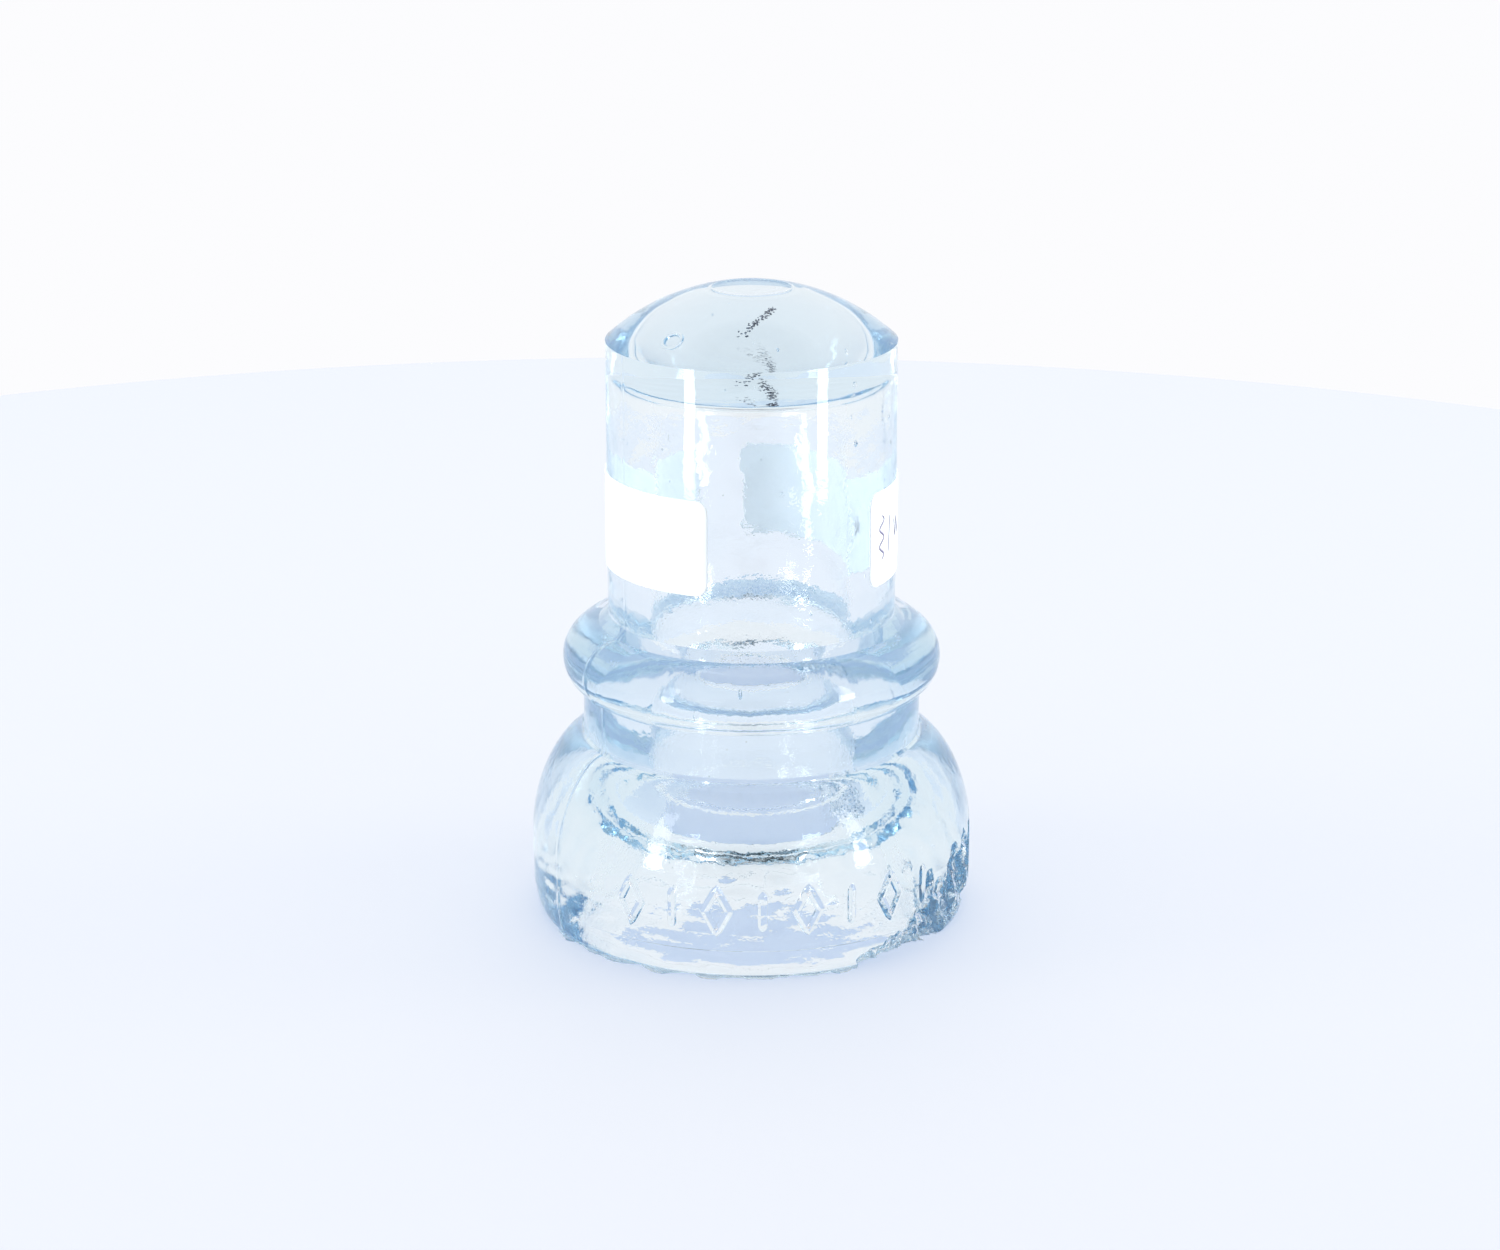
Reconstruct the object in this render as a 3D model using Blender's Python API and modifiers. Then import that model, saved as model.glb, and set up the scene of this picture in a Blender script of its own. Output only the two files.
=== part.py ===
"""A pressed-glass pin insulator with two paper labels stuck on its crown.

Metres, +Z up along the pin hole, origin at the centre of the base rim. Azimuth 0 is the front, -Y, and
turns towards +X, so a point at azimuth a and radius r is at (r sin a, -r cos a).
"""

import math
import random

import bmesh
import bpy
from mathutils import Vector

MM = 0.001

# Glass outside, from the top down
HEIGHT = 85.2 * MM
TOP_FLAT_R = 5.3 * MM
CROWN_R = 19.2 * MM
DOME_FOOT_Z = 78.3 * MM
CROWN_FOOT_Z = 40.2 * MM
RING_R = 25.3 * MM
RING_Z = 35.3 * MM
RING_HALF_DEPTH = 5.4 * MM
RING_HALF_HEIGHT = 4.9 * MM
NECK_R = 22.6 * MM
NECK_FOOT_Z = 24.7 * MM
SKIRT_R = 29.65 * MM
SKIRT_WALL_Z = 11.9 * MM
SHOULDER_POWER = 1.18
BEAD_Z = 3.9 * MM
RIM_OUTER_R = 28.0 * MM
RIM_STEP = 0.2 * MM
CROWN_FILLET, NECK_FILLET, DOME_EDGE = 1.2 * MM, 0.4 * MM, 0.3 * MM

# Glass inside, from the base up
RIM_INNER_R = 23.8 * MM
RIM_CHAMFER = 0.7 * MM
HOLLOW_WALL = ((20.9, 5.4), (19.0, 9.6), (17.6, 11.8), (16.2, 12.6))
HOLE_LIP = ((14.9, 12.0), (14.2, 12.0), (13.7, 13.0))
BORE_TOP_R = 12.6 * MM
BORE_TOP_Z = 72.6 * MM
BORE_TOP_ROUND = 1.2 * MM
BORE_CROWNING = 0.3 * MM

TURN_STEPS = 80

# Raised marks round the skirt
MARK_COUNT = 8
MARK_FIRST_DEG, MARK_STEP_DEG = -32.0, 11.6
MARK_LOW_Z, MARK_HIGH_Z = 5.8 * MM, 13.2 * MM
MARK_PROUD = 0.35 * MM
MARK_ROOT = 0.8 * MM
BAR_WIDTH = 1.5 * MM
LOZENGE_WIDTH = 4.4 * MM

# Small raised ring on the dome: where it lies, its radius, and its stroke's radius and sinking
RING_MARK_AZIMUTH_DEG, RING_MARK_R = -39.0, 16.0 * MM
RING_MARK_RADIUS, RING_MARK_STROKE_R, RING_MARK_SUNK = 1.25 * MM, 0.3 * MM, 0.05 * MM
RING_MARK_SIDES, RING_MARK_STROKE_SIDES = 20, 8

# Broken places on the rim: azimuth in degrees, then radius, height and half sizes (across, deep, high) in mm
CHIPS = (
    (34, 29.6, 0.2, 3.0, 2.4, 2.2),
    (42, 30.0, 0.4, 3.4, 3.4, 3.0),
    (50, 30.6, 1.6, 3.2, 4.4, 4.8),
    (52, 32.0, 8.2, 1.3, 3.0, 3.8),
    (58, 30.8, 3.2, 3.0, 4.2, 5.6),
    (66, 31.6, 6.4, 3.2, 3.8, 6.4),
    (74, 31.8, 7.6, 3.0, 3.5, 6.2),
    (82, 30.7, 0.2, 5.0, 3.7, 4.2),
    (82, 32.0, 8.8, 2.6, 3.2, 5.0),
)
CHIP_SEED = 7

# Paper labels
LABEL_LENGTH, LABEL_HEIGHT = 44.45 * MM, 12.7 * MM
LABEL_CORNER = 1.6 * MM
LABEL_THICK = 0.15 * MM
LABEL_GAP = 0.1 * MM
LABEL_COLUMNS, LABEL_ROWS = 44, 12
# Each label: the azimuth it starts from and which way it goes round, then its middle height at each end
BLANK_LABEL = (-17.0, -1, 54.8 * MM, 54.6 * MM)
PRICE_LABEL = (53.0, 1, 53.8 * MM, 54.3 * MM)


def empty_scene():
    for obj in list(bpy.data.objects):
        bpy.data.objects.remove(obj, do_unlink=True)


def collection(name):
    made = bpy.data.collections.new(name)
    bpy.context.scene.collection.children.link(made)
    return made


def material(name, colour, roughness, transmission=0.0):
    made = bpy.data.materials.new(name)
    made.use_nodes = True
    shader = made.node_tree.nodes["Principled BSDF"]
    shader.inputs["Base Color"].default_value = (*colour, 1.0)
    shader.inputs["Roughness"].default_value = roughness
    shader.inputs["Metallic"].default_value = 0.0
    shader.inputs["IOR"].default_value = 1.5
    shader.inputs["Transmission Weight"].default_value = transmission
    return made


def add_object(name, mesh, where):
    made = bpy.data.objects.new(name, mesh)
    where.objects.link(made)
    return made


def arc(centre_r, centre_z, half_r, half_z, start_deg, end_deg, steps, power=1.0):
    """Points (r, z) along an ellipse, or along a flatter or fuller curve where power isn't 1."""
    points = []
    for step in range(steps + 1):
        angle = math.radians(start_deg + (end_deg - start_deg) * step / steps)
        across, up = math.cos(angle), math.sin(angle)
        points.append(
            (
                centre_r + half_r * math.copysign(abs(across) ** power, across),
                centre_z + half_z * math.copysign(abs(up) ** power, up),
            )
        )
    return points


def dome_sphere():
    """Centre height and radius of the sphere through the edge of the flat top and the crown's rim."""
    fall = HEIGHT - DOME_FOOT_Z
    centre_z = (CROWN_R**2 + DOME_FOOT_Z**2 - TOP_FLAT_R**2 - HEIGHT**2) / (-2 * fall)
    return centre_z, math.hypot(TOP_FLAT_R, HEIGHT - centre_z)


def dome(steps):
    """The sphere's arc from the flat on top to the crown's rim."""
    centre_z, radius = dome_sphere()
    start = math.degrees(math.atan2(HEIGHT - centre_z, TOP_FLAT_R))
    end = math.degrees(math.atan2(DOME_FOOT_Z - centre_z, CROWN_R))
    return arc(0, centre_z, radius, radius, start, end, steps)


def outside_profile():
    """Down the outside, from the middle of the top to the foot of the rim."""
    points = [(0, HEIGHT)]
    points += dome(8)
    points += [(CROWN_R, DOME_FOOT_Z - DOME_EDGE), (CROWN_R, CROWN_FOOT_Z + CROWN_FILLET)]
    ring_centre_r = RING_R - RING_HALF_DEPTH
    points += arc(ring_centre_r, RING_Z, RING_HALF_DEPTH, RING_HALF_HEIGHT, 84, -60, 14)
    points += [(NECK_R, RING_Z - RING_HALF_HEIGHT), (NECK_R, NECK_FOOT_Z + NECK_FILLET)]
    shoulder_r, shoulder_z = SKIRT_R - NECK_R, NECK_FOOT_Z - SKIRT_WALL_Z
    points += arc(NECK_R, SKIRT_WALL_Z, shoulder_r, shoulder_z, 86, 0, 10, SHOULDER_POWER)
    points += [(SKIRT_R, BEAD_Z + RIM_STEP)]
    points += arc(RIM_OUTER_R, BEAD_Z, SKIRT_R - RIM_STEP - RIM_OUTER_R, BEAD_Z, 0, -90, 5)
    return points


def inside_profile():
    """Up the inside, from the foot of the rim to the middle of the pin hole's end."""
    points = [(RIM_INNER_R, 0), (RIM_INNER_R - RIM_CHAMFER, RIM_CHAMFER * 2)]
    points += [(r * MM, z * MM) for r, z in HOLLOW_WALL + HOLE_LIP]
    round_r, round_z = BORE_TOP_R - BORE_TOP_ROUND, BORE_TOP_Z - BORE_TOP_ROUND
    points += arc(round_r, round_z, BORE_TOP_ROUND, BORE_TOP_ROUND, 0, 90, 4)
    points += [(0, BORE_TOP_Z + BORE_CROWNING)]
    return points


def turned(name, points, where):
    """A profile on the XZ plane with a Screw modifier round Z."""
    mesh = bpy.data.meshes.new(name)
    edges = [(i, i + 1) for i in range(len(points) - 1)]
    mesh.from_pydata([(r, 0, z) for r, z in points], edges, [])
    made = add_object(name, mesh, where)
    screw = made.modifiers.new("turn", "SCREW")
    screw.axis = "Z"
    screw.angle = math.tau
    screw.steps = screw.render_steps = TURN_STEPS
    screw.use_merge_vertices = True
    screw.merge_threshold = 0.00001
    screw.use_smooth_shade = True
    return made


def place(obj, azimuth_deg, radius, height):
    """Puts obj on the glass, with its own -Y pointing out from the axis."""
    azimuth = math.radians(azimuth_deg)
    obj.location = (radius * math.sin(azimuth), -radius * math.cos(azimuth), height)
    obj.rotation_euler = (0, 0, azimuth)


def helper(name, mesh, where):
    """An object that only serves a Boolean."""
    made = add_object(name, mesh, where)
    made.hide_render = True
    made.display_type = "WIRE"
    return made


def bar_mesh(width, depth, height):
    work = bmesh.new()
    bmesh.ops.create_cube(work, size=1.0)
    bmesh.ops.scale(work, verts=work.verts, vec=(width, depth, height))
    mesh = bpy.data.meshes.new("bar")
    work.to_mesh(mesh)
    work.free()
    return mesh


def lozenge_mesh(width, depth, height):
    """A four-sided prism with a corner at each side, top and bottom."""
    work = bmesh.new()
    bmesh.ops.create_cone(
        work, cap_ends=True, segments=4, radius1=0.5, radius2=0.5, depth=1.0
    )
    for vert in work.verts:
        x, y, z = vert.co
        vert.co = Vector((x * width, z * depth, y * height))
    bmesh.ops.recalc_face_normals(work, faces=work.faces)
    mesh = bpy.data.meshes.new("lozenge")
    work.to_mesh(mesh)
    work.free()
    return mesh


def ring_mesh(radius, stroke_r):
    """A round stroke in a circle, lying flat."""
    work = bmesh.new()
    hoops = []
    for side in range(RING_MARK_SIDES):
        turn = math.tau * side / RING_MARK_SIDES
        hoop = []
        for step in range(RING_MARK_STROKE_SIDES):
            angle = math.tau * step / RING_MARK_STROKE_SIDES
            reach = radius + stroke_r * math.cos(angle)
            place_on_hoop = (reach * math.cos(turn), reach * math.sin(turn), stroke_r * math.sin(angle))
            hoop.append(work.verts.new(place_on_hoop))
        hoops.append(hoop)
    for hoop, beside in zip(hoops, hoops[1:] + hoops[:1]):
        for near, far in zip(range(RING_MARK_STROKE_SIDES), [*range(1, RING_MARK_STROKE_SIDES), 0]):
            work.faces.new((hoop[near], beside[near], beside[far], hoop[far]))
    bmesh.ops.recalc_face_normals(work, faces=work.faces)
    mesh = bpy.data.meshes.new("ring_mark")
    work.to_mesh(mesh)
    work.free()
    return mesh


def add_relief(glass, where):
    """Plain raised bars and lozenges round the skirt, and a small ring on the dome."""
    depth = MARK_PROUD + MARK_ROOT
    radius = SKIRT_R + MARK_PROUD - depth / 2
    height = MARK_HIGH_Z - MARK_LOW_Z
    for index in range(MARK_COUNT):
        if index % 2:
            mesh = bar_mesh(BAR_WIDTH, depth, height)
        else:
            mesh = lozenge_mesh(LOZENGE_WIDTH, depth, height)
        mark = helper(f"mark_{index + 1}", mesh, where)
        azimuth = MARK_FIRST_DEG + MARK_STEP_DEG * index
        place(mark, azimuth, radius, (MARK_LOW_Z + MARK_HIGH_Z) / 2)
    ring = helper("ring_mark", ring_mesh(RING_MARK_RADIUS, RING_MARK_STROKE_R), where)
    centre_z, dome_radius = dome_sphere()
    dome_z = centre_z + math.sqrt(dome_radius**2 - RING_MARK_R**2)
    place(ring, RING_MARK_AZIMUTH_DEG, RING_MARK_R, dome_z - RING_MARK_SUNK)
    ring.rotation_euler.x = math.asin(RING_MARK_R / dome_radius)
    boolean(glass, where, "UNION")


def add_chips(glass, where):
    """Flakes broken from the skirt's rim, as faceted scoops."""
    rolls = random.Random(CHIP_SEED)
    for index, (azimuth, radius, height, across, deep, high) in enumerate(CHIPS):
        work = bmesh.new()
        bmesh.ops.create_icosphere(work, subdivisions=2, radius=1.0)
        turn = Vector((rolls.random(), rolls.random(), rolls.random())).to_track_quat("Z", "Y")
        bmesh.ops.rotate(work, verts=work.verts, matrix=turn.to_matrix())
        bmesh.ops.scale(work, verts=work.verts, vec=(across * MM, deep * MM, high * MM))
        mesh = bpy.data.meshes.new("chip")
        work.to_mesh(mesh)
        work.free()
        chip = helper(f"chip_{index + 1}", mesh, where)
        place(chip, azimuth, radius * MM, height * MM)
    boolean(glass, where, "DIFFERENCE")


def boolean(glass, where, operation):
    modifier = glass.modifiers.new(where.name, "BOOLEAN")
    modifier.operation = operation
    modifier.operand_type = "COLLECTION"
    modifier.collection = where
    modifier.solver = "EXACT"


def glass_body(where, marks, chips):
    glass = turned("glass_body", outside_profile() + inside_profile(), where)
    add_relief(glass, marks)
    add_chips(glass, chips)
    glass.data.materials.append(material("glass", (0.78, 0.89, 0.93), 0.03, 1.0))


def label(name, layout, where, paper):
    """A thin rounded rectangle wrapped round the crown."""
    start_deg, way_round, start_z, end_z = layout
    radius = CROWN_R + LABEL_GAP
    half_length, half_height = LABEL_LENGTH / 2, LABEL_HEIGHT / 2
    work = bmesh.new()
    bmesh.ops.create_grid(
        work, x_segments=LABEL_COLUMNS, y_segments=LABEL_ROWS, size=1.0
    )
    for vert in work.verts:
        # Rows crowd towards the long edges, where the corners are rounded.
        up = half_height * math.sin(vert.co.y * math.pi / 2)
        into_corner = max(0.0, abs(up) - (half_height - LABEL_CORNER))
        inset = LABEL_CORNER - math.sqrt(max(0.0, LABEL_CORNER**2 - into_corner**2))
        along = half_length + vert.co.x * (half_length - inset)
        azimuth = math.radians(start_deg) + way_round * along / CROWN_R
        middle_z = start_z + (end_z - start_z) * along / LABEL_LENGTH
        vert.co = (radius * math.sin(azimuth), -radius * math.cos(azimuth), middle_z + up)
    mesh = bpy.data.meshes.new(name)
    work.to_mesh(mesh)
    work.free()
    if way_round < 0:
        mesh.flip_normals()
    mesh.shade_smooth()
    made = add_object(name, mesh, where)
    shell = made.modifiers.new("thickness", "SOLIDIFY")
    shell.thickness = LABEL_THICK
    shell.offset = 1.0
    made.data.materials.append(paper)


def main():
    empty_scene()
    parts = collection("pin_insulator")
    marks = collection("marks")
    chips = collection("chips")
    glass_body(parts, marks, chips)
    paper = material("paper", (0.94, 0.95, 0.95), 0.6)
    label("blank_label", BLANK_LABEL, parts, paper)
    label("price_label", PRICE_LABEL, parts, paper)


main()
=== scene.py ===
"""The looks of the glass pin insulator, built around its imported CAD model.

Metres, +Z up along the pin hole. Azimuth 0 is the front, -Y, and turns towards +X, so a point at azimuth a
and radius r is at (r sin a, -r cos a).
"""

import math
import random

import bmesh
import bpy
from mathutils import Matrix, Vector, noise


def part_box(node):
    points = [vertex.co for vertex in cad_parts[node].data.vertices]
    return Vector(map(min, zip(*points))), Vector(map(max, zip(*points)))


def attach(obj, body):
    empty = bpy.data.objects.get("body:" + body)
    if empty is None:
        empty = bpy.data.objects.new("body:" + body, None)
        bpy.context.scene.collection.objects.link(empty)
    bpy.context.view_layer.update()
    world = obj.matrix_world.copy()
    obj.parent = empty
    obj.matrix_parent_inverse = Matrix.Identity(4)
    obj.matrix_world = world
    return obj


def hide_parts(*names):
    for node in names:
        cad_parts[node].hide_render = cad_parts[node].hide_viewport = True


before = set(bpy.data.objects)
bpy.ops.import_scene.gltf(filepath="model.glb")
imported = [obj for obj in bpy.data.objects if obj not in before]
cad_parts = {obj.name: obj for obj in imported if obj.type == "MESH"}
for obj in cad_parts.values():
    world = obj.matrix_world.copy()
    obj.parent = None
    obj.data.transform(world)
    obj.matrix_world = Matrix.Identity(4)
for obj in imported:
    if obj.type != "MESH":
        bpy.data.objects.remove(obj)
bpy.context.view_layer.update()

GLASS_LOW, GLASS_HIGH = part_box("glass_body")
MM = (GLASS_HIGH.z - GLASS_LOW.z) / 85.2  # one millimetre of the CAD design
BODY = "root"

# Glass outside, from the top down, as in the CAD, but for the lip round the flat on top, which is too small
# for it. The lip's points are radii and heights above the top, in millimetres.
HEIGHT = GLASS_HIGH.z
TOP_FLAT_R = 5.3 * MM
TOP_LIP = ((0, -0.07), (4.85, -0.07), (5.1, -0.02), (5.25, 0), (5.4, -0.05), (5.55, -0.14), (5.8, -0.2))
DOME_START_R = 5.9 * MM
CROWN_R = 19.2 * MM
DOME_FOOT_Z = 78.3 * MM
CROWN_FOOT_Z = 40.2 * MM
RING_R = 25.3 * MM
RING_Z = 35.3 * MM
RING_HALF_DEPTH, RING_HALF_HEIGHT = 5.4 * MM, 4.9 * MM
NECK_R = 22.6 * MM
NECK_FOOT_Z = 24.7 * MM
SKIRT_R = GLASS_HIGH.x
SKIRT_WALL_Z = 11.9 * MM
SHOULDER_POWER = 1.18
BEAD_Z = 3.9 * MM
RIM_OUTER_R = 28.0 * MM

# Glass inside, from the base up, as in the CAD, but for the ledge, which is too small for it. The hollow's
# points are radii and heights, in millimetres.
RIM_INNER_R = 23.8 * MM
HOLLOW = (
    (23.1, 1.4),
    (20.9, 5.4),
    (19.0, 9.6),
    (17.6, 11.8),
    (16.2, 12.6),
    (14.9, 12.0),
    (14.2, 12.0),
    (13.7, 13.0),
)
HOLLOW_TOP_Z = 13 * MM
BORE_TOP_R, BORE_TOP_Z, BORE_TOP_ROUND = 12.6 * MM, 72.6 * MM, 1.2 * MM
BORE_CROWNING = 0.3 * MM
LEDGE_Z, LEDGE = 15.6 * MM, 0.15 * MM
LEDGE_STEPS = ((1, 1), (1, 3), (0, 4))  # in from the wall and up from its foot, in ledges

# How finely the glass is cut, and how uneven its skin is
WALL_STEP, BORE_STEP, HOLLOW_STEP = 1.0 * MM, 1.1 * MM, 0.33 * MM
COLUMNS = 240
SEAM_AZIMUTHS = (-60.0, 120.0)
SEAM_COLUMNS_DEG = (-0.85, -0.45, 0.45, 0.85)
SEAM_PROUD, SEAM_HALF_WIDTH = 0.07 * MM, 0.32 * MM
SMOOTH_BELOW_Z = 0.6 * MM  # the land that it stands on stays true
SKIN_WAVE, SKIN_WAVE_LENGTH = 0.05 * MM, 5.0 * MM
BORE_WAVE, BORE_WAVE_LENGTH = 0.09 * MM, 3.0 * MM
BORE_SWELL_SHARE, BORE_SWELL_LENGTH = 0.6, 2.7 * BORE_WAVE_LENGTH
BORE_END_WAVE_SHARE = 0.35
HOLLOW_RIPPLE, HOLLOW_RIPPLE_LENGTH, HOLLOW_RIPPLE_PATCH = 0.07 * MM, 1.3 * MM, 4 * MM
HOLLOW_RIPPLE_SLANT = 0.6
CRUMPLE, CRUMPLE_LENGTH = 0.2 * MM, 1.9 * MM
CRUMPLE_FROM_R, CRUMPLE_FROM_Z, CRUMPLE_FADE = 14.3 * MM, 4.5 * MM, 4 * MM

# Raised marks, as in the CAD
MARK_COUNT = 8
MARK_FIRST_DEG, MARK_STEP_DEG = -32.0, 11.6
MARK_LOW_Z, MARK_HIGH_Z = 5.8 * MM, 13.2 * MM
MARK_PROUD = 0.33 * MM
STROKE_R = 0.75 * MM
LOZENGE_HALF_WIDTH = 1.6 * MM
DOT_AZIMUTH_DEG, DOT_R, DOT_Z, DOT_SLOPE_DEG = -39.0, 16.0 * MM, 80.78 * MM, 34.0
DOT_RADIUS, DOT_STROKE_R = 1.25 * MM, 0.3 * MM

# Broken places on the rim, as in the CAD: azimuth in degrees, then in millimetres the radius, the height
# and the half sizes across, deep and high
CHIPS = (
    (34, 29.6, 0.2, 3.0, 2.4, 2.2),
    (42, 30.0, 0.4, 3.4, 3.4, 3.0),
    (50, 30.6, 1.6, 3.2, 4.4, 4.8),
    (52, 32.0, 8.2, 1.3, 3.0, 3.8),
    (58, 30.8, 3.2, 3.0, 4.2, 5.6),
    (66, 31.6, 6.4, 3.2, 3.8, 6.4),
    (74, 31.8, 7.6, 3.0, 3.5, 6.2),
    (82, 30.7, 0.2, 5.0, 3.7, 4.2),
    (82, 32.0, 8.8, 2.6, 3.2, 5.0),
)
CHIP_SEED = 7
CHIP_FLAKE_SCALE, CHIP_FLAKE = 0.5, 1.0
CHIP_CRUMB_SCALE, CHIP_CRUMB = 1.4, 0.8
CHIP_SHRINK = 0.65

# Thin flash left round the foot of the rim
FLASH_FROM_DEG, FLASH_TO_DEG, FLASH_STEP_DEG = -66.0, 33.0, 1.0
FLASH_ROOT_R, FLASH_LEAST_R, FLASH_MOST_R = 27.2 * MM, 28.3 * MM, 29.75 * MM
FLASH_LOW_Z, FLASH_EDGE_Z, FLASH_HIGH_Z = 0.02 * MM, 0.18 * MM, 0.3 * MM
FLASH_EDGE_BEVEL = 0.1 * MM
FLASH_TOOTH_DEG, FLASH_FINE_TOOTH_DEG, FLASH_FINE_SHARE = 7.0, 2.0, 0.35
FLASH_FADE_STEPS = 6

# Seed bubbles in the glass
BUBBLES, BUBBLE_SEED = 90, 21
BUBBLE_SMALL, BUBBLE_LARGE = 0.07 * MM, 0.26 * MM
BUBBLE_STRETCH = (1.0, 2.2)
BUBBLE_LOW_Z, BUBBLE_HIGH_Z = 3 * MM, 83 * MM
BUBBLE_INNER_GAP, BUBBLE_OUTER_GAP = 0.3 * MM, 0.5 * MM
CHIPS_TOP_Z, CHIPS_FROM, CHIPS_TO = 16 * MM, 0.4, 1.8  # no bubble in the broken place; radians

# The dark streak in the dome and the trail in front of it: flakes, the two ends and how far flakes stray
# from the line between them in millimetres, and their tilt in degrees
STREAK = (85, (-0.9, -0.6, 73.7), (2.2, 0.8, 77.0), (0.24, 0.16, 0.2), 31)
TRAIL = (170, (0.9, -5.5, 75.2), (2.3, -8.0, 73.2), (0.3, 0.8, 0.25), -31)
STREAK_SEED = 5
FLAKE_LENGTH, FLAKE_WIDTH, FLAKE_THICK = (0.04, 0.24), (0.05, 0.15), (0.008, 0.015)

# Paper labels, as in the CAD: start azimuth, way round, then middle heights at the start and the end
LABEL_LENGTH, LABEL_HEIGHT, LABEL_CORNER = 44.45 * MM, 12.7 * MM, 1.6 * MM
LABEL_GAP, LABEL_THICK = 0.05 * MM, 0.09 * MM
LABEL_LIFT, LABEL_LIFT_LENGTH = 0.02 * MM, 5 * MM
LABEL_CELLS = (150, 44)
BLANK_LABEL = (-17.0, -1, 54.8 * MM, 54.6 * MM)
PRICE_LABEL = (53.0, 1, 53.8 * MM, 54.3 * MM)
PEN_LINE_R, PEN_LINE_LIFT, PEN_LINE_FLATNESS = 0.15 * MM, 0.02 * MM, 0.15

# The stage, in metres and degrees
TABLE_R, TABLE_THICK, TABLE_TOP_Z, TABLE_X = 0.32, 0.02, -0.00005, -0.012
STRIP_AZIMUTHS_DEG = (-48, 55.2)
STRIP_DISTANCE, STRIP_WIDTH = 0.237, 0.036
STRIPS = (("strip_foot", 0.001, 0.07, 8.5), ("strip_top", 0.07, 0.19, 3.4))  # foot, head, glow
FILLS = (  # place, width, height, watts
    ("fill_left", (-0.98, -0.1, 0.14), 0.5, 0.25, 10.5),
    ("fill_right", (0.98, 0.1, 0.14), 0.5, 0.25, 10.5),
    ("fill_top", (0.0, 0.25, 0.75), 0.5, 0.5, 2.9),
)
FILL_AIM = (0, 0, 0.05)
CAMERA_PLACE = (-0.0002, -0.480, 0.1895)
CAMERA_TILT_DEG, CAMERA_LENS, CAMERA_SENSOR = 17.41, 90.15, 36.0


def arc(centre_r, centre_z, half_r, half_z, start_deg, end_deg, steps, power=1.0):
    """Points (r, z) along an ellipse, or along a flatter or fuller curve where power isn't 1."""
    points = []
    for step in range(steps + 1):
        angle = math.radians(start_deg + (end_deg - start_deg) * step / steps)
        across, up = math.cos(angle), math.sin(angle)
        points.append(
            (
                centre_r + half_r * math.copysign(abs(across) ** power, across),
                centre_z + half_z * math.copysign(abs(up) ** power, up),
            )
        )
    return points


def dome_arc():
    """A sphere's arc from the flat on top to the crown's rim."""
    centre_z = (CROWN_R**2 + DOME_FOOT_Z**2 - TOP_FLAT_R**2 - HEIGHT**2) / (2 * (DOME_FOOT_Z - HEIGHT))
    radius = math.hypot(TOP_FLAT_R, HEIGHT - centre_z)
    start = math.degrees(math.acos(DOME_START_R / radius))
    end = math.degrees(math.atan2(DOME_FOOT_Z - centre_z, CROWN_R))
    return arc(0, centre_z, radius, radius, start, end, 30)


def line(points, step):
    """A straight-sided outline through points, with more points along it about one step apart."""
    made = [points[0]]
    for (r0, z0), (r1, z1) in zip(points, points[1:]):
        count = max(1, round(math.hypot(r1 - r0, z1 - z0) / step))
        for index in range(1, count + 1):
            made.append((r0 + (r1 - r0) * index / count, z0 + (z1 - z0) * index / count))
    return made


def outside_outline():
    """Points (r, z) from the middle of the top, down the outside, to the land that it stands on."""
    points = line([(r * MM, HEIGHT + z * MM) for r, z in TOP_LIP], WALL_STEP)
    points += dome_arc()[1:]
    points += line([(CROWN_R, DOME_FOOT_Z - 0.3 * MM), (CROWN_R, CROWN_FOOT_Z + 1.2 * MM)], WALL_STEP)
    points += arc(RING_R - RING_HALF_DEPTH, RING_Z, RING_HALF_DEPTH, RING_HALF_HEIGHT, 84, -60, 44)
    points += line([(NECK_R, RING_Z - RING_HALF_HEIGHT), (NECK_R, NECK_FOOT_Z + 0.4 * MM)], WALL_STEP)
    shoulder_out, shoulder_up = SKIRT_R - NECK_R, NECK_FOOT_Z - SKIRT_WALL_Z
    points += arc(NECK_R, SKIRT_WALL_Z, shoulder_out, shoulder_up, 86, 0, 40, SHOULDER_POWER)
    points += line([(SKIRT_R, SKIRT_WALL_Z - 0.7 * MM), (SKIRT_R, BEAD_Z + 0.7 * MM)], WALL_STEP)
    points += [(SKIRT_R - 0.02 * MM, BEAD_Z + 0.15 * MM), (SKIRT_R - 0.2 * MM, BEAD_Z)]
    points += arc(RIM_OUTER_R, BEAD_Z, SKIRT_R - RIM_OUTER_R - 0.2 * MM, BEAD_Z, -3, -90, 16)
    return points


def inside_outline():
    """Points (r, z) from the land, up the hollow and the pin hole, to the middle of the hole's end."""
    points = line([(RIM_INNER_R, 0), *((r * MM, z * MM) for r, z in HOLLOW)], HOLLOW_STEP)
    points = eased(eased(points))
    round_r, round_z = BORE_TOP_R - BORE_TOP_ROUND, BORE_TOP_Z - BORE_TOP_ROUND
    mouth_r, mouth_z = points[-1]
    ledge_r = mouth_r + (BORE_TOP_R - mouth_r) * (LEDGE_Z - mouth_z) / (round_z - mouth_z)
    points += line([points[-1], (ledge_r, LEDGE_Z)], BORE_STEP)[1:]
    points += [(ledge_r - LEDGE * inward, LEDGE_Z + LEDGE * up) for inward, up in LEDGE_STEPS]
    points += line([points[-1], (BORE_TOP_R, round_z)], BORE_STEP)[1:-1]
    points += arc(round_r, round_z, BORE_TOP_ROUND, BORE_TOP_ROUND, 0, 90, 10)
    points += line([points[-1], (0, BORE_TOP_Z + BORE_CROWNING)], BORE_STEP)[1:]
    return points


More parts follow.
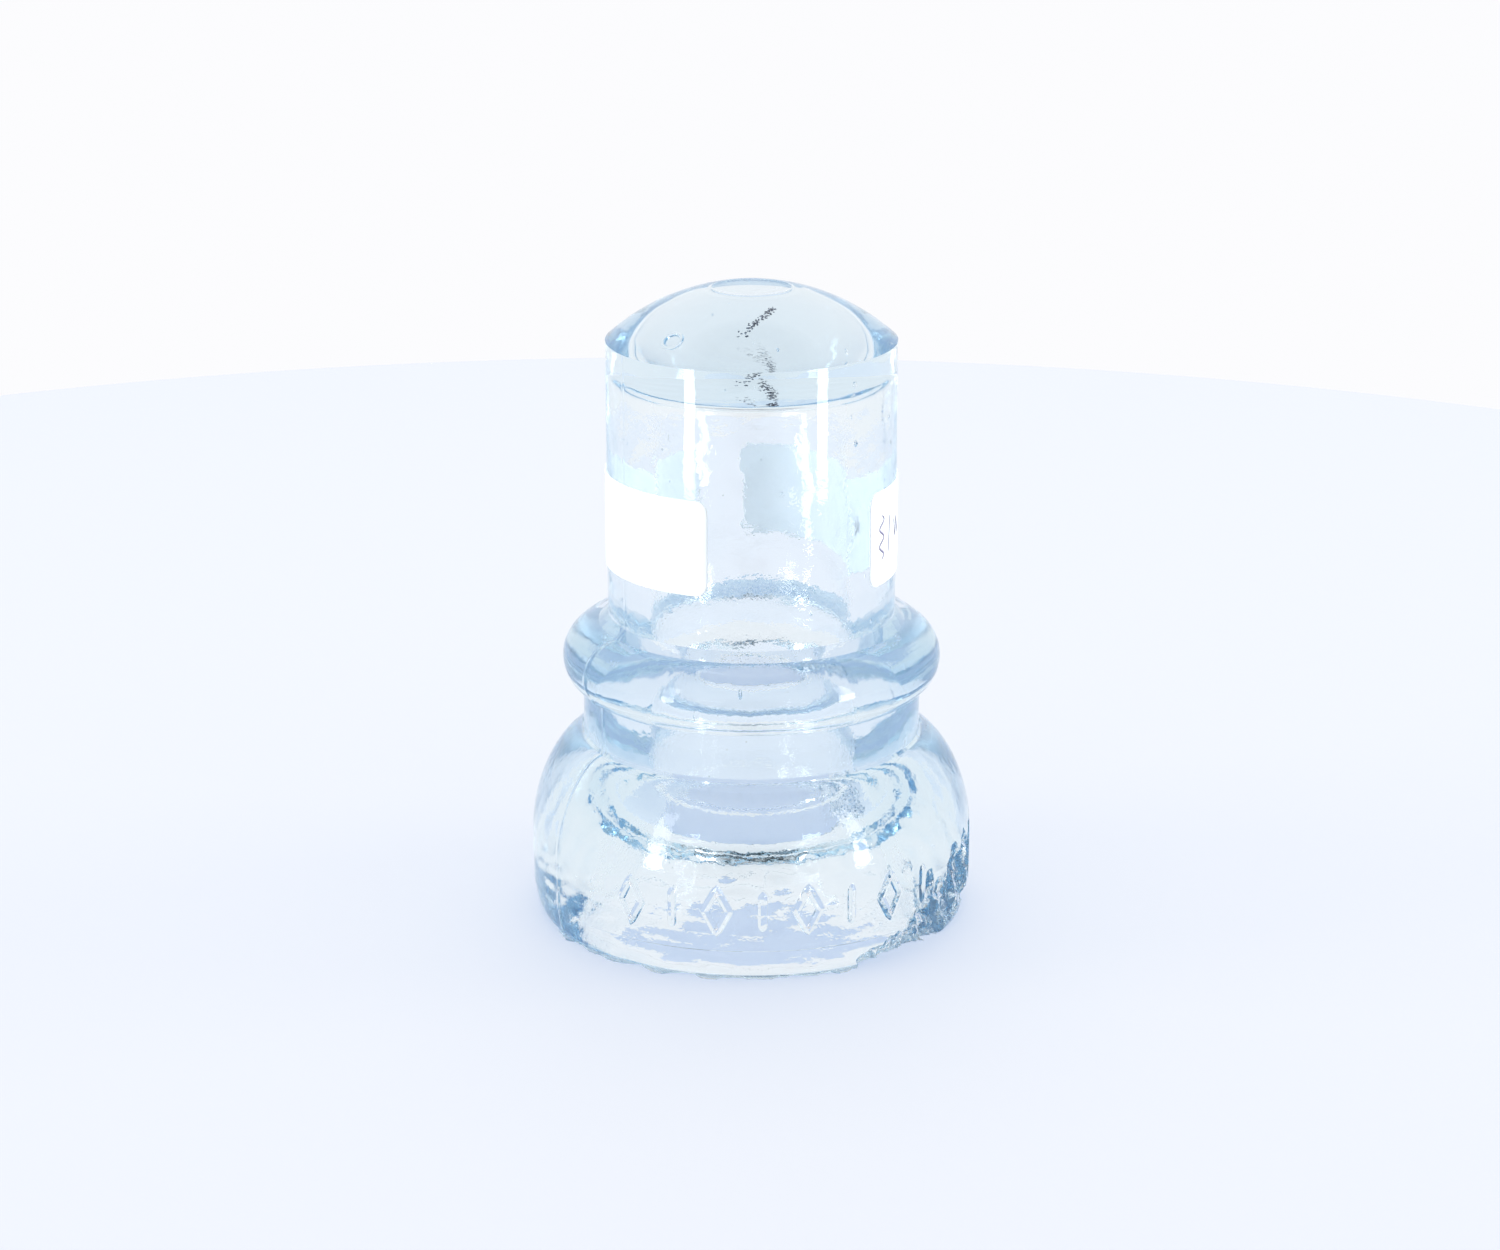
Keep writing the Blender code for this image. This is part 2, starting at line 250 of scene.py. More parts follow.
def eased(points):
    """The same line with its corners slightly rounded."""
    made = [points[0]]
    for (r0, z0), (r1, z1), (r2, z2) in zip(points, points[1:], points[2:]):
        made.append(((r0 + 2 * r1 + r2) / 4, (z0 + 2 * z1 + z2) / 4))
    return made + [points[-1]]


def column_azimuths():
    """Even columns, with closer ones beside each mould seam."""
    azimuths = {360.0 * index / COLUMNS for index in range(COLUMNS)}
    for seam in SEAM_AZIMUTHS:
        for offset in SEAM_COLUMNS_DEG:
            azimuths.add((seam + offset) % 360.0)
    return sorted(azimuths)


def azimuth_gap(first_deg, second_deg):
    """The degrees between two azimuths, the short way round."""
    return abs((first_deg - second_deg + 180.0) % 360.0 - 180.0)


def skin_offset(where, azimuth_deg, radius, inside):
    """How far the glass stands out from the true turned shape at this point."""
    if where.z < SMOOTH_BELOW_Z:
        return 0.0
    if inside:
        swell = BORE_SWELL_SHARE * noise.noise(where / BORE_SWELL_LENGTH)
        wave = noise.noise(where / BORE_WAVE_LENGTH) + swell
        offset = BORE_WAVE * wave * (1.0 if radius > BORE_TOP_R - BORE_TOP_ROUND else BORE_END_WAVE_SHARE)
        if where.z < HOLLOW_TOP_Z:
            ripple = math.sin(math.tau * (where.z + HOLLOW_RIPPLE_SLANT * radius) / HOLLOW_RIPPLE_LENGTH)
            offset += HOLLOW_RIPPLE * ripple * noise.noise(where / HOLLOW_RIPPLE_PATCH + Vector((9, 0, 0)))
        if radius > CRUMPLE_FROM_R and where.z > CRUMPLE_FROM_Z:
            near_roof = min(1.0, (where.z - CRUMPLE_FROM_Z) / CRUMPLE_FADE)
            offset += CRUMPLE * near_roof * noise.noise(where / CRUMPLE_LENGTH)
        return offset
    offset = -SKIN_WAVE * (1 + noise.noise(where / SKIN_WAVE_LENGTH)) / 2
    if where.z > DOME_FOOT_Z:
        return offset
    proud = SEAM_PROUD * (0.5 if where.z > CROWN_FOOT_Z else 1.0)
    for seam in SEAM_AZIMUTHS:
        away = math.radians(azimuth_gap(azimuth_deg, seam)) * radius
        offset += proud * max(0.0, 1 - (away / SEAM_HALF_WIDTH) ** 2)
    return offset


def outline_normals(outline):
    """The outward direction at each point of an outline that runs down the outside and up the inside."""
    normals = []
    for index in range(len(outline)):
        r0, z0 = outline[max(index - 1, 0)]
        r1, z1 = outline[min(index + 1, len(outline) - 1)]
        length = math.hypot(r1 - r0, z1 - z0)
        normals.append(((z0 - z1) / length, (r1 - r0) / length))
    return normals


def turned_glass():
    """The whole glass as one closed skin, turned from its outline and made slightly uneven."""
    outside = outside_outline()
    outside += line([outside[-1], (RIM_INNER_R, 0)], WALL_STEP)[1:]
    outline = outside + inside_outline()[1:]
    normals = outline_normals(outline)
    azimuths = column_azimuths()
    columns = len(azimuths)
    verts = [(0, 0, outline[0][1])]
    for index in range(1, len(outline) - 1):
        (radius, height), (out_r, out_z) = outline[index], normals[index]
        for azimuth_deg in azimuths:
            azimuth = math.radians(azimuth_deg)
            side = Vector((math.sin(azimuth), -math.cos(azimuth), 0))
            where = side * radius + Vector((0, 0, height))
            offset = skin_offset(where, azimuth_deg, radius, index >= len(outside))
            verts.append(where + side * (out_r * offset) + Vector((0, 0, out_z * offset)))
    verts.append((0, 0, outline[-1][1]))
    last = len(verts) - 1
    faces = []
    for column in range(columns):
        beside = (column + 1) % columns
        faces.append((0, 1 + column, 1 + beside))
        for row in range(len(outline) - 3):
            upper, lower = 1 + row * columns, 1 + (row + 1) * columns
            faces.append((upper + column, lower + column, lower + beside, upper + beside))
        faces.append((last - columns + column, last, last - columns + beside))
    mesh = bpy.data.meshes.new("pressed_glass")
    mesh.from_pydata(verts, [], faces)
    return add_object("pressed_glass", mesh)


def add_object(name, mesh):
    """A new object in the scene that shows the mesh."""
    made = bpy.data.objects.new(name, mesh)
    bpy.context.scene.collection.objects.link(made)
    return made


def on_skirt(across, height, radius):
    """The point that lies across metres round the wall from azimuth 0."""
    azimuth = across / SKIRT_R
    return Vector((radius * math.sin(azimuth), -radius * math.cos(azimuth), height))


def tube(name, points, radius, closed, resolution=3):
    """A round stroke through points, as a closed mesh."""
    curve = bpy.data.curves.new(name, "CURVE")
    curve.dimensions = "3D"
    curve.bevel_depth = radius
    curve.bevel_resolution = resolution
    curve.use_fill_caps = not closed
    spline = curve.splines.new("POLY")
    spline.points.add(len(points) - 1)
    for point, place in zip(spline.points, points):
        point.co = (*place, 1)
    spline.use_cyclic_u = closed
    if not closed:
        for index, share in ((0, 0.35), (1, 0.8), (-2, 0.8), (-1, 0.35)):
            spline.points[index].radius = share
    made = bpy.data.objects.new(name, curve)
    bpy.context.scene.collection.objects.link(made)
    graph = bpy.context.evaluated_depsgraph_get()
    mesh = bpy.data.meshes.new_from_object(made.evaluated_get(graph))
    bpy.data.objects.remove(made)
    work = bmesh.new()
    work.from_mesh(mesh)
    bmesh.ops.remove_doubles(work, verts=work.verts, dist=0.001 * MM)
    bmesh.ops.recalc_face_normals(work, faces=work.faces)
    work.to_mesh(mesh)
    work.free()
    return add_object(name, mesh)


def skirt_marks():
    """Plain bars and open lozenges with rounded strokes, half sunk in the skirt."""
    stroke_axis_r = SKIRT_R + MARK_PROUD - STROKE_R
    middle_z, half_height = (MARK_LOW_Z + MARK_HIGH_Z) / 2, (MARK_HIGH_Z - MARK_LOW_Z) / 2 - STROKE_R
    marks = []
    for index in range(MARK_COUNT):
        centre = math.radians(MARK_FIRST_DEG + MARK_STEP_DEG * index) * SKIRT_R
        points = []
        if index % 2:
            for step in range(13):
                up = half_height * (step / 6 - 1)
                points.append(on_skirt(centre, middle_z + up, stroke_axis_r))
        else:
            for step in range(40):
                turn = step / 10
                side, share = divmod(turn, 1)
                corners = ((0, 1), (1, 0), (0, -1), (-1, 0), (0, 1))
                (x0, z0), (x1, z1) = corners[int(side)], corners[int(side) + 1]
                across = LOZENGE_HALF_WIDTH * (x0 + (x1 - x0) * share)
                up = half_height * (z0 + (z1 - z0) * share)
                points.append(on_skirt(centre + across, middle_z + up, stroke_axis_r))
        marks.append(tube(f"mark_{index + 1}", points, STROKE_R, closed=not index % 2))
    return marks


def dome_ring():
    """The small round mould mark on the dome."""
    slope = math.radians(DOT_SLOPE_DEG)
    azimuth = math.radians(DOT_AZIMUTH_DEG)
    where = Matrix.Translation((DOT_R * math.sin(azimuth), -DOT_R * math.cos(azimuth), DOT_Z))
    turn = where @ Matrix.Rotation(azimuth, 4, "Z") @ Matrix.Rotation(slope, 4, "X")
    points = []
    for step in range(36):
        angle = math.tau * step / 36
        points.append(turn @ Vector((DOT_RADIUS * math.cos(angle), DOT_RADIUS * math.sin(angle), 0)))
    return tube("dome_ring", points, DOT_STROKE_R, closed=True)


def foot_flash():
    """The thin jagged sheet that the mould left round the front of the foot."""
    work = bmesh.new()
    rings = []
    steps = round((FLASH_TO_DEG - FLASH_FROM_DEG) / FLASH_STEP_DEG)
    for step in range(steps + 1):
        azimuth_deg = FLASH_FROM_DEG + FLASH_STEP_DEG * step
        azimuth = math.radians(azimuth_deg)
        teeth = noise.noise(Vector((azimuth_deg / FLASH_TOOTH_DEG, 3.0, 0)))
        fine_teeth = noise.noise(Vector((azimuth_deg / FLASH_FINE_TOOTH_DEG, 8.0, 0)))
        ragged = 0.5 + teeth + FLASH_FINE_SHARE * fine_teeth
        fade = min(1.0, step / FLASH_FADE_STEPS, (steps - step) / FLASH_FADE_STEPS)
        radius = FLASH_LEAST_R + (FLASH_MOST_R - FLASH_LEAST_R) * min(1.0, max(0.0, ragged)) * fade
        section = (
            (FLASH_ROOT_R, FLASH_LOW_Z),
            (radius, FLASH_LOW_Z),
            (radius - FLASH_EDGE_BEVEL, FLASH_EDGE_Z),
            (FLASH_ROOT_R, FLASH_HIGH_Z),
        )
        ring = []
        for r, z in section:
            ring.append(work.verts.new((r * math.sin(azimuth), -r * math.cos(azimuth), z)))
        rings.append(ring)
    for ring, beside in zip(rings, rings[1:]):
        for index in range(4):
            follow = (index + 1) % 4
            work.faces.new((ring[index], ring[follow], beside[follow], beside[index]))
    work.faces.new(rings[0])
    work.faces.new(rings[-1])
    bmesh.ops.recalc_face_normals(work, faces=work.faces)
    mesh = bpy.data.meshes.new("flash")
    work.to_mesh(mesh)
    work.free()
    return add_object("flash", mesh)


def chip_cutters():
    """Rough scoops with the flat facets and fine ribs of broken glass."""
    rolls = random.Random(CHIP_SEED)
    cutters = []
    for index, (azimuth_deg, radius, height, across, deep, high) in enumerate(CHIPS):
        work = bmesh.new()
        bmesh.ops.create_icosphere(work, subdivisions=5, radius=1.0)
        shift = Vector((rolls.uniform(0, 50), rolls.uniform(0, 50), rolls.uniform(0, 50)))
        for vert in work.verts:
            spot = Vector((vert.co.x * across, vert.co.y * deep, vert.co.z * high))
            flakes, _ = noise.voronoi(spot * CHIP_FLAKE_SCALE + shift)
            crumbs, _ = noise.voronoi(spot * CHIP_CRUMB_SCALE + shift)
            bulge = CHIP_FLAKE * flakes[0] + CHIP_CRUMB * crumbs[0] - CHIP_SHRINK
            vert.co *= 1 + bulge / max(spot.length, 1)
        bmesh.ops.scale(work, verts=work.verts, vec=(across * MM, deep * MM, high * MM))
        mesh = bpy.data.meshes.new("chip")
        work.to_mesh(mesh)
        work.free()
        chip = add_object(f"chip_{index + 1}", mesh)
        azimuth = math.radians(azimuth_deg)
        chip.location = (radius * MM * math.sin(azimuth), -radius * MM * math.cos(azimuth), height * MM)
        chip.rotation_euler = (0, 0, azimuth)
        cutters.append(chip)
    return cutters


def combine(glass, others, operation):
    """One Boolean with all the others at once, applied, after which the others are gone."""
    group = bpy.data.collections.new(operation)
    bpy.context.scene.collection.children.link(group)
    for other in others:
        bpy.context.scene.collection.objects.unlink(other)
        group.objects.link(other)
    modifier = glass.modifiers.new(operation, "BOOLEAN")
    modifier.operation = operation
    modifier.operand_type = "COLLECTION"
    modifier.collection = group
    modifier.solver = "MANIFOLD"
    graph = bpy.context.evaluated_depsgraph_get()
    mesh = bpy.data.meshes.new_from_object(glass.evaluated_get(graph))
    glass.modifiers.clear()
    glass.data = mesh
    for other in others:
        bpy.data.objects.remove(other)
    bpy.data.collections.remove(group)


def radii_at(height):
    """The glass's inner and outer radius at a height, by its outline."""

    def reach(points, pick):
        found = []
        for (r0, z0), (r1, z1) in zip(points, points[1:]):
            if min(z0, z1) <= height <= max(z0, z1) and abs(z1 - z0) > 1e-9:
                found.append(r0 + (r1 - r0) * (height - z0) / (z1 - z0))
        return pick(found) if found else 0.0

    return reach(inside_outline(), max), reach(outside_outline(), min)


def seed_bubbles(glass):
    """Small voids with their skins facing inwards, joined to the glass."""
    rolls = random.Random(BUBBLE_SEED)
    voids = bmesh.new()
    made = 0
    while made < BUBBLES:
        height = rolls.uniform(BUBBLE_LOW_Z, BUBBLE_HIGH_Z)
        azimuth = rolls.uniform(0, math.tau)
        size = BUBBLE_SMALL + (BUBBLE_LARGE - BUBBLE_SMALL) * rolls.random() ** 3
        inner, outer = radii_at(height)
        low, high = inner + 3 * size + BUBBLE_INNER_GAP, outer - 3 * size - BUBBLE_OUTER_GAP
        if high <= low or (height < CHIPS_TOP_Z and CHIPS_FROM < azimuth < CHIPS_TO):
            continue
        radius = rolls.uniform(low, high)
        place = Matrix.Translation((radius * math.sin(azimuth), -radius * math.cos(azimuth), height))
        stretch = Matrix.Diagonal((size, size, size * rolls.uniform(*BUBBLE_STRETCH), 1))
        bmesh.ops.create_icosphere(voids, subdivisions=2, radius=1.0, matrix=place @ stretch)
        made += 1
    bmesh.ops.reverse_faces(voids, faces=voids.faces)
    mesh = bpy.data.meshes.new("bubbles")
    voids.to_mesh(mesh)
    voids.free()
    work = bmesh.new()
    work.from_mesh(glass.data)
    work.from_mesh(mesh)
    work.to_mesh(glass.data)
    work.free()


def finish_glass_mesh(glass):
    """Makes the carved glass one clean skin: near points joined, and no two faces left back to back."""
    work = bmesh.new()
    work.from_mesh(glass.data)
    bmesh.ops.remove_doubles(work, verts=work.verts, dist=0.002 * MM)
    bmesh.ops.triangulate(work, faces=work.faces)
    on_corners = {}
    for face in work.faces:
        on_corners.setdefault(frozenset(face.verts), []).append(face)
    doubled = [face for faces in on_corners.values() if len(faces) > 1 for face in faces]
    bmesh.ops.delete(work, geom=doubled, context="FACES")
    work.to_mesh(glass.data)
    work.free()
    glass.data.shade_smooth()
    glass.data.set_sharp_from_angle(angle=math.radians(32))


def scatter_flakes(work, rolls, count, start, end, stray, tilt_deg):
    """Thin dark flakes strewn along a line, closest together towards its end, all lying at one tilt."""
    for _ in range(count):
        share = 1 - rolls.random() ** 1.4
        spread = 1.2 - 0.5 * share
        off = Vector([rolls.gauss(0, width) * spread for width in stray])
        size = Vector([rolls.uniform(*sizes) for sizes in (FLAKE_LENGTH, FLAKE_WIDTH, FLAKE_THICK)])
        place = Matrix.Translation((Vector(start).lerp(Vector(end), share) + off) * MM)
        tilt = Matrix.Rotation(math.radians(tilt_deg), 4, "X")
        turn = tilt @ Matrix.Rotation(rolls.uniform(-0.3, 0.3), 4, "Z")
        shape = place @ turn @ Matrix.Diagonal((*(size * MM), 1))
        bmesh.ops.create_icosphere(work, subdivisions=1, radius=1.0, matrix=shape)


def dome_streak():
    """A ragged dark streak caught in the solid glass of the dome, with a thin trail down in front of it."""
    work = bmesh.new()
    rolls = random.Random(STREAK_SEED)
    scatter_flakes(work, rolls, *STREAK)
    scatter_flakes(work, rolls, *TRAIL)
    mesh = bpy.data.meshes.new("dome_streak")
    work.to_mesh(mesh)
    work.free()
    mesh.shade_smooth()
    return add_object("dome_streak", mesh)


def on_label(layout, along, up, radius):
    """The point that lies along metres from the label's start, and up from its middle line."""
    start_deg, way_round, start_z, end_z = layout
    azimuth = math.radians(start_deg) + way_round * along / CROWN_R
    middle_z = start_z + (end_z - start_z) * along / LABEL_LENGTH
    return Vector((radius * math.sin(azimuth), -radius * math.cos(azimuth), middle_z + up))


def paper_label(name, layout):
    """A thin rounded rectangle of paper that follows the glass."""
    radius = CROWN_R + LABEL_GAP
    half_length, half_height = LABEL_LENGTH / 2, LABEL_HEIGHT / 2
    work = bmesh.new()
    bmesh.ops.create_grid(work, x_segments=LABEL_CELLS[0], y_segments=LABEL_CELLS[1], size=1.0)
    for vert in work.verts:
        up = half_height * math.sin(vert.co.y * math.pi / 2)
        into_corner = max(0.0, abs(up) - (half_height - LABEL_CORNER))
        inset = LABEL_CORNER - math.sqrt(max(0.0, LABEL_CORNER**2 - into_corner**2))
        along = half_length + vert.co.x * (half_length - inset)
        flat = Vector((along, up, 0))
        lift = LABEL_LIFT * (0.5 + noise.noise(flat / LABEL_LIFT_LENGTH))
        vert.co = on_label(layout, along, up, radius + lift)
    mesh = bpy.data.meshes.new(name)
    work.to_mesh(mesh)
    work.free()
    if layout[1] < 0:
        mesh.flip_normals()
    mesh.shade_smooth()
    made = add_object(name, mesh)
    shell = made.modifiers.new("thickness", "SOLIDIFY")
    shell.thickness = LABEL_THICK
    shell.offset = 1.0
    return made


def pen_mark():
    """A few pen strokes that spell nothing, on the start of the price label."""
    radius = CROWN_R + LABEL_GAP + LABEL_THICK + PEN_LINE_LIFT
    turns = [step / 30 for step in range(31)]
    strokes = (
        [(2.8 + 0.6 * math.sin(2.5 * math.tau * turn), 3.0 - 6.0 * turn) for turn in turns],
        [(5.4 - 0.5 * turn, 2.5 - 5.0 * turn) for turn in turns],
        [(7.2 + 2.6 * turn, 0.2 + 1.2 * math.cos(1.8 * math.tau * turn)) for turn in turns],
    )
    work = bmesh.new()
    for stroke in strokes:
        points = [on_label(PRICE_LABEL, x * MM, z * MM, radius) for x, z in stroke]
        made = tube("stroke", points, PEN_LINE_R, closed=False, resolution=2)
        work.from_mesh(made.data)
        bpy.data.objects.remove(made)
    for vert in work.verts:
        reach = math.hypot(vert.co.x, vert.co.y)
        flattened = radius + (reach - radius) * PEN_LINE_FLATNESS
        vert.co.x *= flattened / reach
        vert.co.y *= flattened / reach
    mesh = bpy.data.meshes.new("pen_mark")
    work.to_mesh(mesh)
    work.free()
    mesh.shade_smooth()
    return add_object("pen_mark", mesh)


# Materials


def material(name):
    """A new material, its node tree and its main shader."""
    made = bpy.data.materials.new(name)
    made.use_nodes = True
    return made, made.node_tree, made.node_tree.nodes["Principled BSDF"]


def noise_node(tree, scale, detail, roughness=0.5, stretch=(1, 1, 1)):
    """Noise in the object's own metres, and the socket that gives its value."""
    coordinates = tree.nodes.new("ShaderNodeTexCoord")
    mapping = tree.nodes.new("ShaderNodeMapping")
    mapping.inputs["Scale"].default_value = stretch
    texture = tree.nodes.new("ShaderNodeTexNoise")
    texture.inputs["Scale"].default_value = scale
    texture.inputs["Detail"].default_value = detail
    texture.inputs["Roughness"].default_value = roughness
    tree.links.new(coordinates.outputs["Object"], mapping.inputs["Vector"])
    tree.links.new(mapping.outputs["Vector"], texture.inputs["Vector"])
    return texture.outputs["Fac"]


def ramp_node(tree, value, stops):
    """A socket for the colour that the stops give to the value."""
    made = tree.nodes.new("ShaderNodeValToRGB")
    elements = made.color_ramp.elements
    while len(elements) < len(stops):
        elements.new(0.5)
    for element, (position, colour) in zip(elements, stops):
        element.position = position
        element.color = (*colour, 1) if isinstance(colour, tuple) else (colour, colour, colour, 1)
    tree.links.new(value, made.inputs["Fac"])
    return made.outputs["Color"]


def bump_node(tree, height, distance, under=None):
    """A socket for the normals of a surface as uneven as height, laid over the bump under it."""
    made = tree.nodes.new("ShaderNodeBump")
    made.inputs["Strength"].default_value = 1.0
    made.inputs["Distance"].default_value = distance
    tree.links.new(height, made.inputs["Height"])
    if under is not None:
        tree.links.new(under, made.inputs["Normal"])
    return made.outputs["Normal"]


def split_place(tree):
    """Sockets for the distance from the axis, for X and for Z, in the object's metres."""
    coordinates = tree.nodes.new("ShaderNodeTexCoord")
    split = tree.nodes.new("ShaderNodeSeparateXYZ")
    tree.links.new(coordinates.outputs["Object"], split.inputs["Vector"])
    flat = tree.nodes.new("ShaderNodeCombineXYZ")
    tree.links.new(split.outputs["X"], flat.inputs["X"])
    tree.links.new(split.outputs["Y"], flat.inputs["Y"])
    radius = tree.nodes.new("ShaderNodeVectorMath")
    radius.operation = "LENGTH"
    tree.links.new(flat.outputs["Vector"], radius.inputs[0])
    return radius.outputs["Value"], split.outputs["X"], split.outputs["Z"]


def broken_mask(tree):
    """One on the broken faces at the right of the skirt."""
    radius, across, height = split_place(tree)
    below = range_node(tree, height, (13 * MM, 14 * MM), (1.0, 0.0))
    cut_away = range_node(tree, radius, (29.3 * MM, 29.5 * MM), (1.0, 0.0))
    beyond_hollow = range_node(tree, radius, (24.2 * MM, 24.6 * MM), (0.0, 1.0))
    right = range_node(tree, across, (13 * MM, 15 * MM), (0.0, 1.0))
    return times_node(tree, times_node(tree, below, cut_away), times_node(tree, beyond_hollow, right))


def wrinkle_mask(tree):
    """One on the wall of the pin hole and on the skirt, less on the crown, and nearly nothing on the dome."""
    radius, _, height = split_place(tree)
    near_axis = range_node(tree, radius, (15 * MM, 18 * MM), (1.0, 0.0))
    below_end = range_node(tree, height, (70 * MM, 72 * MM), (1.0, 0.03))
    on_skirt = range_node(tree, height, (24 * MM, 34 * MM), (0.9, 0.5))
    below_dome = range_node(tree, height, (68 * MM, 71.5 * MM), (1.0, 0.1))
    outside = times_node(tree, on_skirt, below_dome)
    most = tree.nodes.new("ShaderNodeMath")
    most.operation = "MAXIMUM"
    tree.links.new(times_node(tree, near_axis, below_end), most.inputs[0])
    tree.links.new(outside, most.inputs[1])
    return most.outputs["Value"]


def hollow_rings(tree):
    """Fine tool rings round the wall of the flared hollow under the skirt."""
    radius, across, height = split_place(tree)
    slant = tree.nodes.new("ShaderNodeCombineXYZ")
    tree.links.new(radius, slant.inputs["X"])
    tree.links.new(range_node(tree, across, (-1.0, 1.0), (-0.05, 0.05)), slant.inputs["Y"])
    tree.links.new(height, slant.inputs["Z"])
    texture = tree.nodes.new("ShaderNodeTexNoise")
    texture.inputs["Scale"].default_value = 1500
    texture.inputs["Detail"].default_value = 3
    tree.links.new(slant.outputs["Vector"], texture.inputs["Vector"])
    below = range_node(tree, height, (12.3 * MM, 13.5 * MM), (1.0, 0.0))
    inner = range_node(tree, radius, (24.0 * MM, 24.6 * MM), (1.0, 0.0))
    return times_node(tree, times_node(tree, below, inner), texture.outputs["Fac"])


def range_node(tree, value, before, after):
    """A socket for the value, moved and clamped from one range to another."""
    made = tree.nodes.new("ShaderNodeMapRange")
    made.inputs["From Min"].default_value, made.inputs["From Max"].default_value = before
    made.inputs["To Min"].default_value, made.inputs["To Max"].default_value = after
    tree.links.new(value, made.inputs["Value"])
    return made.outputs["Result"]


def times_node(tree, first, second):
    """A socket for the product of two."""
    made = tree.nodes.new("ShaderNodeMath")
    made.operation = "MULTIPLY"
    tree.links.new(first, made.inputs[0])
    tree.links.new(second, made.inputs[1])
    return made.outputs["Value"]


def add_node(tree, first, second):
    """A socket for the sum of two."""
    made = tree.nodes.new("ShaderNodeMath")
    made.operation = "ADD"
    tree.links.new(first, made.inputs[0])
    tree.links.new(second, made.inputs[1])
    return made.outputs["Value"]


def glass_material():
    """Clear ice-blue glass with a wavy skin, a wrinkled pin hole and a little haze."""
    made, tree, shader = material("ice_blue_glass")
    shader.inputs["Base Color"].default_value = (1, 1, 1, 1)
    shader.inputs["IOR"].default_value = 1.5
    haze = ramp_node(tree, noise_node(tree, 260, 5, 0.65), ((0.35, 0.0), (0.75, 0.06)))
    broken = broken_mask(tree)
    foot = range_node(tree, split_place(tree)[2], (0.15 * MM, 0.5 * MM), (0.2, 0.0))
    dull = add_node(tree, range_node(tree, broken, (0.0, 1.0), (0.0, 0.12)), foot)
    tree.links.new(add_node(tree, haze, dull), shader.inputs["Roughness"])
    shader.inputs["Transmission Weight"].default_value = 1.0
    waves = bump_node(tree, noise_node(tree, 300, 1), 0.024 * MM)
    wrinkled = times_node(tree, wrinkle_mask(tree), noise_node(tree, 1000, 2, 0.6))
    wrinkles = bump_node(tree, wrinkled, 0.03 * MM, waves)
    tree.links.new(bump_node(tree, hollow_rings(tree), 0.02 * MM, wrinkles), shader.inputs["Normal"])
    absorption = tree.nodes.new("ShaderNodeVolumeAbsorption")
    absorption.inputs["Color"].default_value = (0.0, 0.5, 0.745, 1)
    absorption.inputs["Density"].default_value = 8.3
    tree.links.new(absorption.outputs["Volume"], tree.nodes["Material Output"].inputs["Volume"])
    return made


def paper_material():
    """Matt white paper with faint fibres, thin enough to let some light through; that light is tinted blue, a
    painted bluish light on the label backs.
    """
    made, tree, shader = material("label_paper")
    fibres = noise_node(tree, 1500, 4, 0.7, (1, 1, 0.35))
    colour = ramp_node(tree, fibres, ((0.3, (0.93, 0.94, 0.95)), (0.7, (0.99, 0.99, 0.99))))
    tree.links.new(colour, shader.inputs["Base Color"])
    shader.inputs["Roughness"].default_value = 0.75
    tree.links.new(bump_node(tree, fibres, 0.01 * MM), shader.inputs["Normal"])
    # The see-through colour is tinted blue: painted bluish light on the backs of the labels, standing in for
    # light that came through the blue glass.
    glow = tree.nodes.new("ShaderNodeBsdfTranslucent")
    glow.inputs["Color"].default_value = (0.9, 0.96, 1.0, 1)
    mix = tree.nodes.new("ShaderNodeMixShader")
    mix.inputs["Fac"].default_value = 0.58
    tree.links.new(shader.outputs["BSDF"], mix.inputs[1])
    tree.links.new(glow.outputs["BSDF"], mix.inputs[2])
    tree.links.new(mix.outputs["Shader"], tree.nodes["Material Output"].inputs["Surface"])
    return made


def ink_material():
    """Dark violet ink, thinner in places."""
    made, tree, shader = material("pen_ink")
    flow = noise_node(tree, 900, 3)
    colour = ramp_node(tree, flow, ((0.3, (0.09, 0.09, 0.16)), (0.7, (0.17, 0.16, 0.27))))
    tree.links.new(colour, shader.inputs["Base Color"])
    shader.inputs["Roughness"].default_value = 0.45
    return made


def streak_material():
    """Matt grey-blue scale, mottled."""
    made, tree, shader = material("dark_scale")
    mottle = noise_node(tree, 1800, 4, 0.7)
    colour = ramp_node(tree, mottle, ((0.3, (0.05, 0.06, 0.09)), (0.7, (0.2, 0.23, 0.3))))
    tree.links.new(colour, shader.inputs["Base Color"])
    shader.inputs["Roughness"].default_value = 0.6
    return made


# The stage


def floor():
    """A round pale table top, whose far edge is behind the insulator."""
    centre = (TABLE_X, 0, TABLE_TOP_Z - TABLE_THICK / 2)
    bpy.ops.mesh.primitive_cylinder_add(vertices=256, radius=TABLE_R, depth=TABLE_THICK, location=centre)
    table = bpy.context.object
    table.name = "table_top"
    made, tree, shader = material("pale_table")
    shader.inputs["Base Color"].default_value = (0.2, 0.16, 0.09, 1)
    shader.inputs["Roughness"].default_value = 0.7
    shader.inputs["Specular IOR Level"].default_value = 0.2
    shader.inputs["Emission Color"].default_value = (0.51, 0.68, 1.0, 1)
    shader.inputs["Emission Strength"].default_value = 0.753
    table.data.materials.append(made)


def lamp(name, place, aim, width, height, energy):
    """A rectangular lamp at place that faces aim."""
    data = bpy.data.lights.new(name, "AREA")
    data.shape = "RECTANGLE"
    data.size, data.size_y = width, height
    data.energy = energy
    made = bpy.data.objects.new(name, data)
    bpy.context.scene.collection.objects.link(made)
    made.location = place
    made.rotation_euler = (Vector(aim) - Vector(place)).to_track_quat("-Z", "Y").to_euler()
    return made


